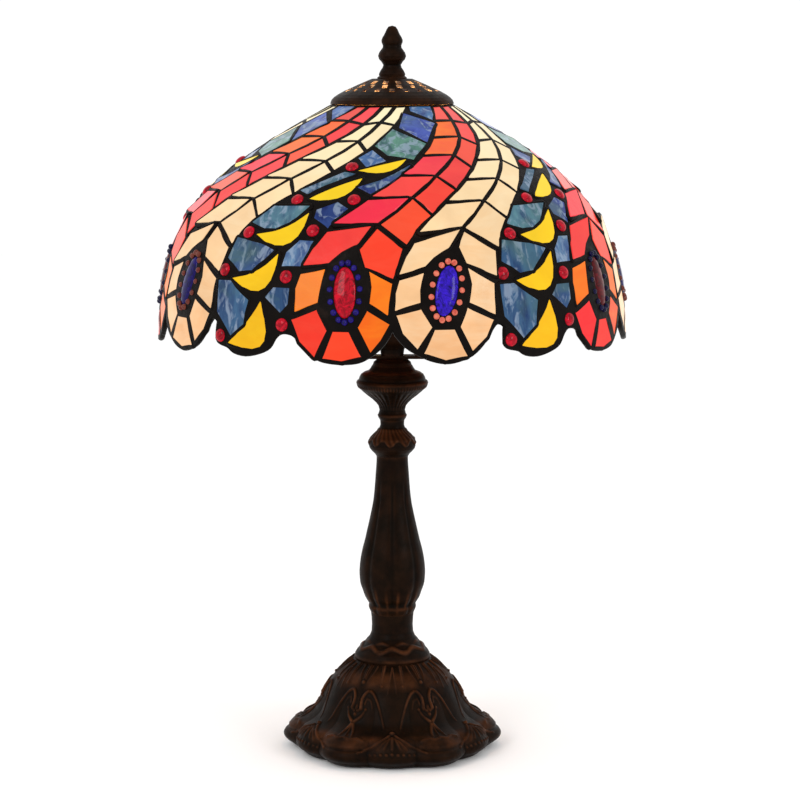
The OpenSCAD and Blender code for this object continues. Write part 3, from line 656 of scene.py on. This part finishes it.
def build_cabochons(node, name, material, wall, rise, shade_sides=True):
    """Smooth pressed domes on the flat backs of a CAD node's jewels."""
    verts, faces = [], []
    around = 28
    for flats in islands(node):
        back = flats[0][1]
        outward = -flats[0][2]
        centre = mean(back)
        along = max((p - centre for p in back), key=lambda v: v.length)
        half_long = along.length
        along.normalize()
        across = along.cross(outward)
        half_wide = max(abs((p - centre).dot(across)) for p in back)
        base = len(verts)
        rings = [(1.0, 0.0), (1.0, wall)]
        for degrees in range(12, 85, 12):
            a = math.radians(degrees)
            rings.append((math.cos(a), wall + rise * math.sin(a)))
        for size, height in rings:
            for k in range(around):
                a = TAU * k / around
                flat = along * (half_long * size * math.cos(a)) + across * (half_wide * size * math.sin(a))
                verts.append(centre + flat + outward * height)
        for r in range(len(rings) - 1):
            for k in range(around):
                m = (k + 1) % around
                a, b = base + r * around, base + (r + 1) * around
                faces.append((a + m, a + k, b + k, b + m))
        top = base + (len(rings) - 1) * around
        faces.append(tuple(top + k for k in reversed(range(around))))
        faces.append(tuple(base + k for k in range(around)))
    piece = make_object(name, verts, faces, material, "shade")
    light_jewels(piece, shade_sides)
    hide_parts(node)
    return piece


dress_cad_nodes()
build_glass("glass_red", "red_glass_pieces", RED, listed_tone(REDS))
build_glass("glass_orange", "orange_glass_pieces", ORANGE, listed_tone(ORANGES))
build_glass("glass_cream", "cream_glass_pieces", CREAM, cream_tone)
build_glass("glass_blue", "blue_glass_pieces", BLUE, listed_tone(BLUES), 26, 66)
build_glass("glass_yellow", "yellow_glass_pieces", YELLOW, yellow_tone)
build_solder()
build_rim()
build_beads("beads_blue", "sapphire_beads", DARK_BEAD)
build_beads("beads_pink", "pink_beads", PINK)
build_cabochons("eye_jewels_red", "ruby_cabochons", RUBY, 1.8 * MM, 2.1 * MM)
build_cabochons("eye_jewels_blue", "sapphire_cabochons", SAPPHIRE, 1.8 * MM, 2.1 * MM)
build_cabochons("round_jewels", "round_ruby_jewels", RUBY, 2.6 * MM, 2.0 * MM, False)


# ---------------------------------------------------------------- cast relief

def smooth_outline(points, step):
    """A smooth curve through a few outline points, cut into steps of about the given length."""
    curve = []
    for i in range(len(points) - 1):
        a, b, c, d = (Vector(points[min(max(k, 0), len(points) - 1)]) for k in range(i - 1, i + 3))
        count = max(1, round((c - b).length / step))
        for k in range(count):
            t = k / count
            curve.append(b + 0.5 * t * (c - a) + t * t * (a - 2.5 * b + 2 * c - 0.5 * d)
                         + 0.5 * t * t * t * (3 * b - a - 3 * c + d))
    curve.append(Vector(points[-1]))
    return curve


def ridge(distance, width):
    """Height of a round ridge, from 1 on its line to 0 at the given half width."""
    t = min(1.0, abs(distance) / width)
    return (1 - t * t) ** 2


def gap_to_line(p, a, b):
    """How far p is from the line from a to b, and how far along the line its nearest place is."""
    along = b - a
    t = max(0.0, min(1.0, (p - a).dot(along) / along.length_squared))
    return (p - a - along * t).length, t


def turned_relief(name, node, outline, step, sides, relief):
    """A turned piece whose surface stands out by relief(angle, height) mm.

    The relief also gives the share that is rubbed bright, partly wear and partly a painted highlight."""
    curve = smooth_outline(outline, step) if step else [Vector(p) for p in outline]
    verts, faces, rub_and_sheen = [], [], []
    for i, p in enumerate(curve):
        along = (curve[min(i + 1, len(curve) - 1)] - curve[max(i - 1, 0)]).normalized()
        out = Vector((-along.y, along.x)) if along.y < 0 or along.x > 0 else Vector((along.y, -along.x))
        if out.x < 0:
            out = -out
        for k in range(sides):
            angle = 360 * k / sides
            height, wear_and_sheen = relief(angle, p.y)
            q = p + out * height
            a = math.radians(angle)
            verts.append((q.x * math.sin(a) * MM, -q.x * math.cos(a) * MM, q.y * MM))
            rub_and_sheen.append(wear_and_sheen)
    for i in range(len(curve) - 1):
        for k in range(sides):
            m = (k + 1) % sides
            faces.append((i * sides + k, (i + 1) * sides + k, (i + 1) * sides + m, i * sides + m))
    close_ends(verts, faces, rub_and_sheen, sides, len(curve))
    return relief_object(name, node, verts, faces, rub_and_sheen)


def close_ends(verts, faces, rub_and_sheen, sides, rings):
    """Flat ends from the first and last ring in to the stem's bore."""
    for ring, flip in ((0, False), (rings - 1, True)):
        base = len(verts)
        for k in range(sides):
            x, y, z = verts[ring * sides + k]
            scale = STEM_BORE / math.hypot(x, y)
            verts.append((x * scale, y * scale, z))
            rub_and_sheen.append(0.0)
        for k in range(sides):
            m = (k + 1) % sides
            quad = (ring * sides + k, ring * sides + m, base + m, base + k)
            faces.append(tuple(reversed(quad)) if flip else quad)


def relief_object(name, node, verts, faces, rub_and_sheen):
    piece = make_object(name, verts, faces, BRONZE, "root")
    layer = piece.data.attributes.new("wear_and_sheen", "FLOAT", "POINT")
    layer.data.foreach_set("value", rub_and_sheen)
    piece.data.set_sharp_from_angle(angle=math.radians(50))
    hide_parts(node)
    return piece


STEM_BORE = 5.2 * MM
PETALS = 8


def window(value, low, high, fade):
    """1 between low and high, falling to 0 over the given distance outside them."""
    return max(0.0, min(1.0, (value - low) / fade + 1, (high - value) / fade + 1))


def baluster_relief(angle, z):
    """Long petals with narrow grooves between them, rubbed along their lower ends."""
    groove = abs(math.cos(math.radians(angle * PETALS / 2))) ** 14
    reach = window(z, 99, 168, 16)
    petal = abs(math.sin(math.radians(angle * PETALS / 2)))
    wear_and_sheen = ridge(petal - 0.72, 0.22) * window(z, 97, 104, 7) * 0.55
    ring = ridge(z - 95.4, 1.2)
    return (-0.75 * groove * reach, max(wear_and_sheen, 0.5 * ring))


def urn_relief(angle, z):
    """A milled edge under the cup's rim, and fine ribs down the cup."""
    mill = abs(math.sin(math.radians(angle * 36)))
    edge = ridge(z - 242.6, 2.2) * mill
    ribs = (0.5 + 0.5 * math.cos(math.radians(angle * 30))) * window(z, 229, 238, 3)
    lip = max(ridge(z - 245.2, 1.3), ridge(z - 223.4, 1.3))
    return (0.35 * edge - 0.3 * ribs, max(0.45 * edge, 0.5 * lip, 0.4 * ridge(z - 252.4, 1.4)))


def knop_relief(angle, z):
    """A collar of leaves over the knop, with drips from its lower edge."""
    leaf = abs(math.sin(math.radians(angle * 4.5 + 20)))
    veins = 0.5 + 0.5 * math.cos(math.radians(angle * 27 + z * 40))
    drop = 203.2 + 3.4 * leaf ** 2
    over = window(z, drop + 1.2, 214, 1.2)
    rough = over * (0.35 + 0.25 * veins)
    return (rough + 0.3 * over * ridge(z - drop - 1.4, 1.6), over * (0.25 + 0.35 * veins))


def collar_relief(angle, z):
    """Pairs of curled leaves on the bell of the lower collar."""
    swing = 0.5 + 0.5 * math.cos(math.radians(angle * 8))
    low = ridge(z - 67.4 - 2.6 * swing, 1.9)
    high = ridge(z - 72.6 + 1.2 * swing, 1.3) * (1 - swing)
    roll = ridge(z - 62, 1.6)
    return (0.7 * low + 0.4 * high, max(0.7 * low, 0.4 * high, 0.35 * roll))


def cad_outline(node):
    """Radius and height of a turned CAD node's outside, from its top down, in mm."""
    reach = {}
    for vertex in frame["nodes"][node].data.vertices:
        z = round(vertex.co.z / MM, 1)
        reach[z] = max(reach.get(z, 0.0), math.hypot(vertex.co.x, vertex.co.y) / MM)
    return [(r, z) for z, r in sorted(reach.items(), reverse=True)]


def divided(outline, step):
    """The same straight-sided outline with points at least every step mm."""
    points = []
    for (r0, z0), (r1, z1) in zip(outline, outline[1:]):
        count = max(1, math.ceil(math.hypot(r1 - r0, z1 - z0) / step))
        points += [(r0 + (r1 - r0) * k / count, z0 + (z1 - z0) * k / count) for k in range(count)]
    return points + [outline[-1]]


BALUSTER = [
    (10.4, 196), (10.4, 193), (10.8, 187), (11.4, 180), (12, 173), (12.8, 166), (13.9, 160), (15.4, 153),
    (17, 146), (18.6, 139), (20.2, 133), (21.5, 126), (22.1, 119), (21.6, 112), (20.8, 109), (19.7, 106),
    (18.3, 102), (16.5, 99), (15.4, 97), (16, 95.4), (15.4, 93.6), (14.2, 91)
]
turned_relief("baluster_petals", "baluster", BALUSTER, 1.6, 192, baluster_relief)
turned_relief("urn_cup", "urn", divided(cad_outline("urn"), 0.8), 0, 360, urn_relief)
turned_relief("knop_leaves", "stem_knop", divided(cad_outline("stem_knop"), 0.7), 0, 288, knop_relief)
turned_relief("collar_leaves", "lower_collar", divided(cad_outline("lower_collar"), 0.7), 0, 240, collar_relief)

# The bell base. Its outline is given on the big lobes, from the collar down to the foot.
BELL = [
    (25.6, 60), (28.6, 58), (32.4, 55.4), (36.8, 51.4), (40, 47), (42.7, 43), (45, 39), (47.2, 34.6), (49.4, 30.4),
    (51.4, 26.8), (53.8, 24.4), (57.2, 22.2), (61.8, 20.2), (66, 18.4), (68.8, 15.6), (71, 12.4), (72.8, 9),
    (71.6, 6), (68, 3.4), (64, 0.8), (60, 0.8)
]
LOBES = 6
SECTOR = 180 / LOBES
BIG_HALF = 16
BIG_DIP = 0.09
SMALL_REACH = 0.95
WEDGE = 46


def lobe_outline(w):
    """Share of the full radius, at an angle from the middle of a small lobe."""
    off = SECTOR - w
    if off < BIG_HALF:
        return 1 - BIG_DIP * (1 - math.cos(math.radians(90 * off / BIG_HALF)))
    small = SECTOR - BIG_HALF
    return SMALL_REACH - (SMALL_REACH + BIG_DIP - 1) * (1 - math.cos(math.radians(90 * w / small)))


# Lines of the relief over half of one repeat.
# Each point is the angle from the middle of a small lobe, and the distance down the bell in mm.
# Each line has a half width and a height, in mm, at its start and at its end.
RELIEF = [
    ([(10, 1), (10.5, 15)], (1.1, 1.3), (0.9, 0.5)),
    ([(12.4, 1), (11.6, 13)], (0.7, 0.8), (0.6, 0.3)),
    ([(30, 1), (30, 12)], (1.2, 1.0), (0.9, 0.5)),
    ([(27, 1), (28.6, 13)], (0.7, 0.8), (0.6, 0.3)),
    ([(20, 1), (22, 8), (26, 15)], (0.8, 0.9), (0.7, 0.2)),
    ([(0, 2), (2.5, 12), (4, 22)], (0.9, 0.9), (0.7, 0.2)),
    ([(26, 33), (29, 35), (29.6, 31)], (1.0, 0.9), (0.8, 0.5)),
    ([(26, 33), (26.4, 26), (22.5, 21), (17.5, 22.5), (12.5, 29), (8.5, 38), (6, 46)], (1.5, 1.5), (0.8, 0.4)),
    ([(23.4, 30), (22, 26), (18.6, 27.4), (16.6, 33)], (0.8, 0.5), (0.6, 0.2)),
    ([(29, 42), (24.4, 38), (22.4, 34)], (1.5, 1.3), (0.6, 0.4)),
    ([(29.4, 44), (26.8, 50), (25.4, 57)], (1.7, 1.3), (0.6, 0.3)),
    ([(30, 44), (30, 56)], (1.2, 0.9), (0.5, 0.2)),
    ([(2, 53), (6.3, 58.5), (12, 64.5), (19, 68)], (1.3, 1.2), (1.4, 0.9)),
    ([(0, 55), (0, 65)], (1.6, 0.9), (1.0, 0.6)),
    ([(1.6, 56), (4.6, 65)], (1.3, 0.8), (0.9, 0.6)),
    ([(3.4, 58), (8.6, 66)], (1.2, 0.8), (0.9, 0.6)),
    ([(18, 60), (22, 57), (26, 58.5), (30, 56.5)], (1.6, 0.9), (1.6, 0.9)),
]
RELIEF = [(smooth_outline(path, 2.5), start, end) for path, start, end in RELIEF]
# Round beads of the relief: angle, distance down the bell, radius and height, in mm
BEADS = [
    (0, 50.5, 2.4, 1.9), (10.5, 17.2, 1.5, 1.2), (30, 15, 1.7, 1.3), (30, 37, 1.5, 1.3), (22, 33.4, 1.2, 0.9),
    (0, 68.6, 1.3, 1.1), (3.2, 69, 1.3, 1.1), (6.4, 69.2, 1.3, 1.0), (9.6, 69.6, 1.2, 0.9), (12.6, 70, 1.1, 0.8)
]
# The undercut line between the leaf lip and the roll of the foot
LIP_DOWN = 66.5
# Radius of the hole that is left open round the cord inlet
INLET_CLEAR = 4.6 * MM


def bell_relief(w, down, radius):
    """Height of the relief, and its share of rubbed wear and painted highlight, at one place of the half repeat.
    """
    here = Vector((math.radians(w) * radius, down))
    height = 0.0
    for path, start, end in RELIEF:
        places = [Vector((math.radians(p.x) * radius, p.y)) for p in path]
        for i, (a, b) in enumerate(zip(places, places[1:])):
            gap, t = gap_to_line(here, a, b)
            t = (i + t) / (len(places) - 1)
            width = start[0] + (end[0] - start[0]) * t
            height = max(height, ridge(gap, width) * (start[1] + (end[1] - start[1]) * t))
    for angle, distance, size, rise in BEADS:
        gap = (here - Vector((math.radians(angle) * radius, distance))).length
        height = max(height, ridge(gap, size) * rise)
    lip = ridge(down - LIP_DOWN, 1.8) * window(w, 17, 30, 2)
    raised = min(0.85, 0.65 * height)
    # Painted highlights: broad bright patches on the shoulder and the skirt of each lobe
    shoulder_highlight = window(down, 10, 17, 5) * window(w, 4, 22, 6) * 0.36
    skirt_highlight = window(down, 58, 64, 5) * window(w, 8, 27, 5) * 0.4
    return height - 1.1 * lip, max(raised, shoulder_highlight, skirt_highlight)


def build_bell():
    """The bell base with its cast relief, the same six times round and mirrored in each repeat."""
    curve = smooth_outline(BELL, 0.75)
    downs = [0.0]
    for a, b in zip(curve, curve[1:]):
        downs.append(downs[-1] + (b - a).length)
    sides = 2 * LOBES * (WEDGE - 1)
    verts, faces, rub_and_sheen = [], [], []
    for i, (p, down) in enumerate(zip(curve, downs)):
        fade = max(0.0, (p.x - 26) / (BELL[16][0] + 0.2 - 26)) ** 1.2
        along = (curve[min(i + 1, len(curve) - 1)] - curve[max(i - 1, 0)]).normalized()
        out = Vector((-along.y, along.x))
        wedge = []
        for j in range(WEDGE):
            w = SECTOR * j / (WEDGE - 1)
            reach = 1 - fade * (1 - lobe_outline(w))
            height, wear_and_sheen = bell_relief(w, down, p.x * reach)
            wedge.append((p.x * reach + out.x * height, max(0.8, p.y + out.y * height), wear_and_sheen))
        for k in range(sides):
            m = k % (2 * (WEDGE - 1))
            r, z, wear_and_sheen = wedge[min(m, 2 * (WEDGE - 1) - m)]
            a = TAU * k / sides
            verts.append((r * math.sin(a) * MM, -r * math.cos(a) * MM, z * MM))
            rub_and_sheen.append(wear_and_sheen)
    inlet = next(m for m in frame["record"]["mounts"] if m["name"] == "cord_inlet")
    hole_z = inlet["pos_m"][2]
    for i in range(len(curve) - 1):
        for k in range(sides):
            m = (k + 1) % sides
            x, y, z = verts[i * sides + k]
            if y > 0 and math.hypot(x, z - hole_z) < INLET_CLEAR:
                continue
            faces.append((i * sides + k, (i + 1) * sides + k, (i + 1) * sides + m, i * sides + m))
    close_ends(verts, faces, rub_and_sheen, sides, len(curve))
    return relief_object("bell_relief", "base_casting", verts, faces, rub_and_sheen)


build_bell()


# ---------------------------------------------------------------- floor, light and camera

BULB_GAP = 6 * MM
FLOOR_HALF = 4.0


def build_floor():
    """A plain pale floor that reaches far past the camera's view on every side."""
    s = Shader("pale_floor")
    s.link(s.ramp(s.noise(3, 2), [(0.3, (0.94, 0.94, 0.94)), (0.7, (0.97, 0.97, 0.97))]),
           s.principled.inputs["Base Color"])
    s.put(Roughness=0.8, Specular_IOR_Level=0.2)
    corners = [(x * FLOOR_HALF, y * FLOOR_HALF, 0) for x, y in ((-1, -1), (1, -1), (1, 1), (-1, 1))]
    mesh = bpy.data.meshes.new("floor")
    mesh.from_pydata(corners, [], [(0, 1, 2, 3)])
    mesh.materials.append(s.material)
    floor = bpy.data.objects.new("floor", mesh)
    bpy.context.scene.collection.objects.link(floor)


def area_light(name, place, target, size, power):
    """A rectangular lamp that faces the target."""
    light = bpy.data.lights.new(name, "AREA")
    light.shape = "RECTANGLE"
    light.size, light.size_y = size
    light.energy = power
    lamp = bpy.data.objects.new(name, light)
    lamp.location = place
    lamp.rotation_euler = (Vector(target) - Vector(place)).to_track_quat("-Z", "Y").to_euler()
    bpy.context.scene.collection.objects.link(lamp)


def build_lights():
    """White surroundings, a key and a fill lamp in front, and the lamp's own bulb."""
    world = bpy.data.worlds.new("studio")
    bpy.context.scene.world = world
    world.use_nodes = True
    world.node_tree.nodes["Background"].inputs["Color"].default_value = (1, 1, 1, 1)
    world.node_tree.nodes["Background"].inputs["Strength"].default_value = 1.05
    area_light("key", (-1.1, -1.5, 1.3), (0, 0, 0.2), (0.9, 0.9), 12)
    area_light("fill", (1.4, -1.2, 0.8), (0, 0, 0.2), (0.4, 0.7), 7)
    # The light sits just above the bulb's glass, which would block it
    bulb = bpy.data.lights.new("bulb_light", "POINT")
    bulb.energy = 1.2
    bulb.color = (1, 0.78, 0.5)
    bulb.shadow_soft_size = 0.024
    lamp = bpy.data.objects.new("bulb_light", bulb)
    bulb_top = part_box("bulb_glass")[1].z
    lamp.location = (0, 0, bulb_top + BULB_GAP)
    bpy.context.scene.collection.objects.link(lamp)


CAMERA_SHIFT = -0.0015
CAMERA_PLACE = (0.0059, -1.70, 0.47)
CAMERA_DOWN = 7.93
CAMERA_LENS = 117.3


def build_camera():
    """A long lens in front of the lamp, looking a little down on it."""
    camera = bpy.data.cameras.new("camera")
    camera.sensor_width = 36
    camera.lens = CAMERA_LENS
    camera.shift_x = CAMERA_SHIFT
    camera.clip_end = 50
    view = bpy.data.objects.new("camera", camera)
    view.location = CAMERA_PLACE
    view.rotation_euler = (math.radians(90 - CAMERA_DOWN), 0, 0)
    bpy.context.scene.collection.objects.link(view)
    bpy.context.scene.camera = view


bpy.context.scene.view_settings.view_transform = "Standard"
build_floor()
build_lights()
build_camera()
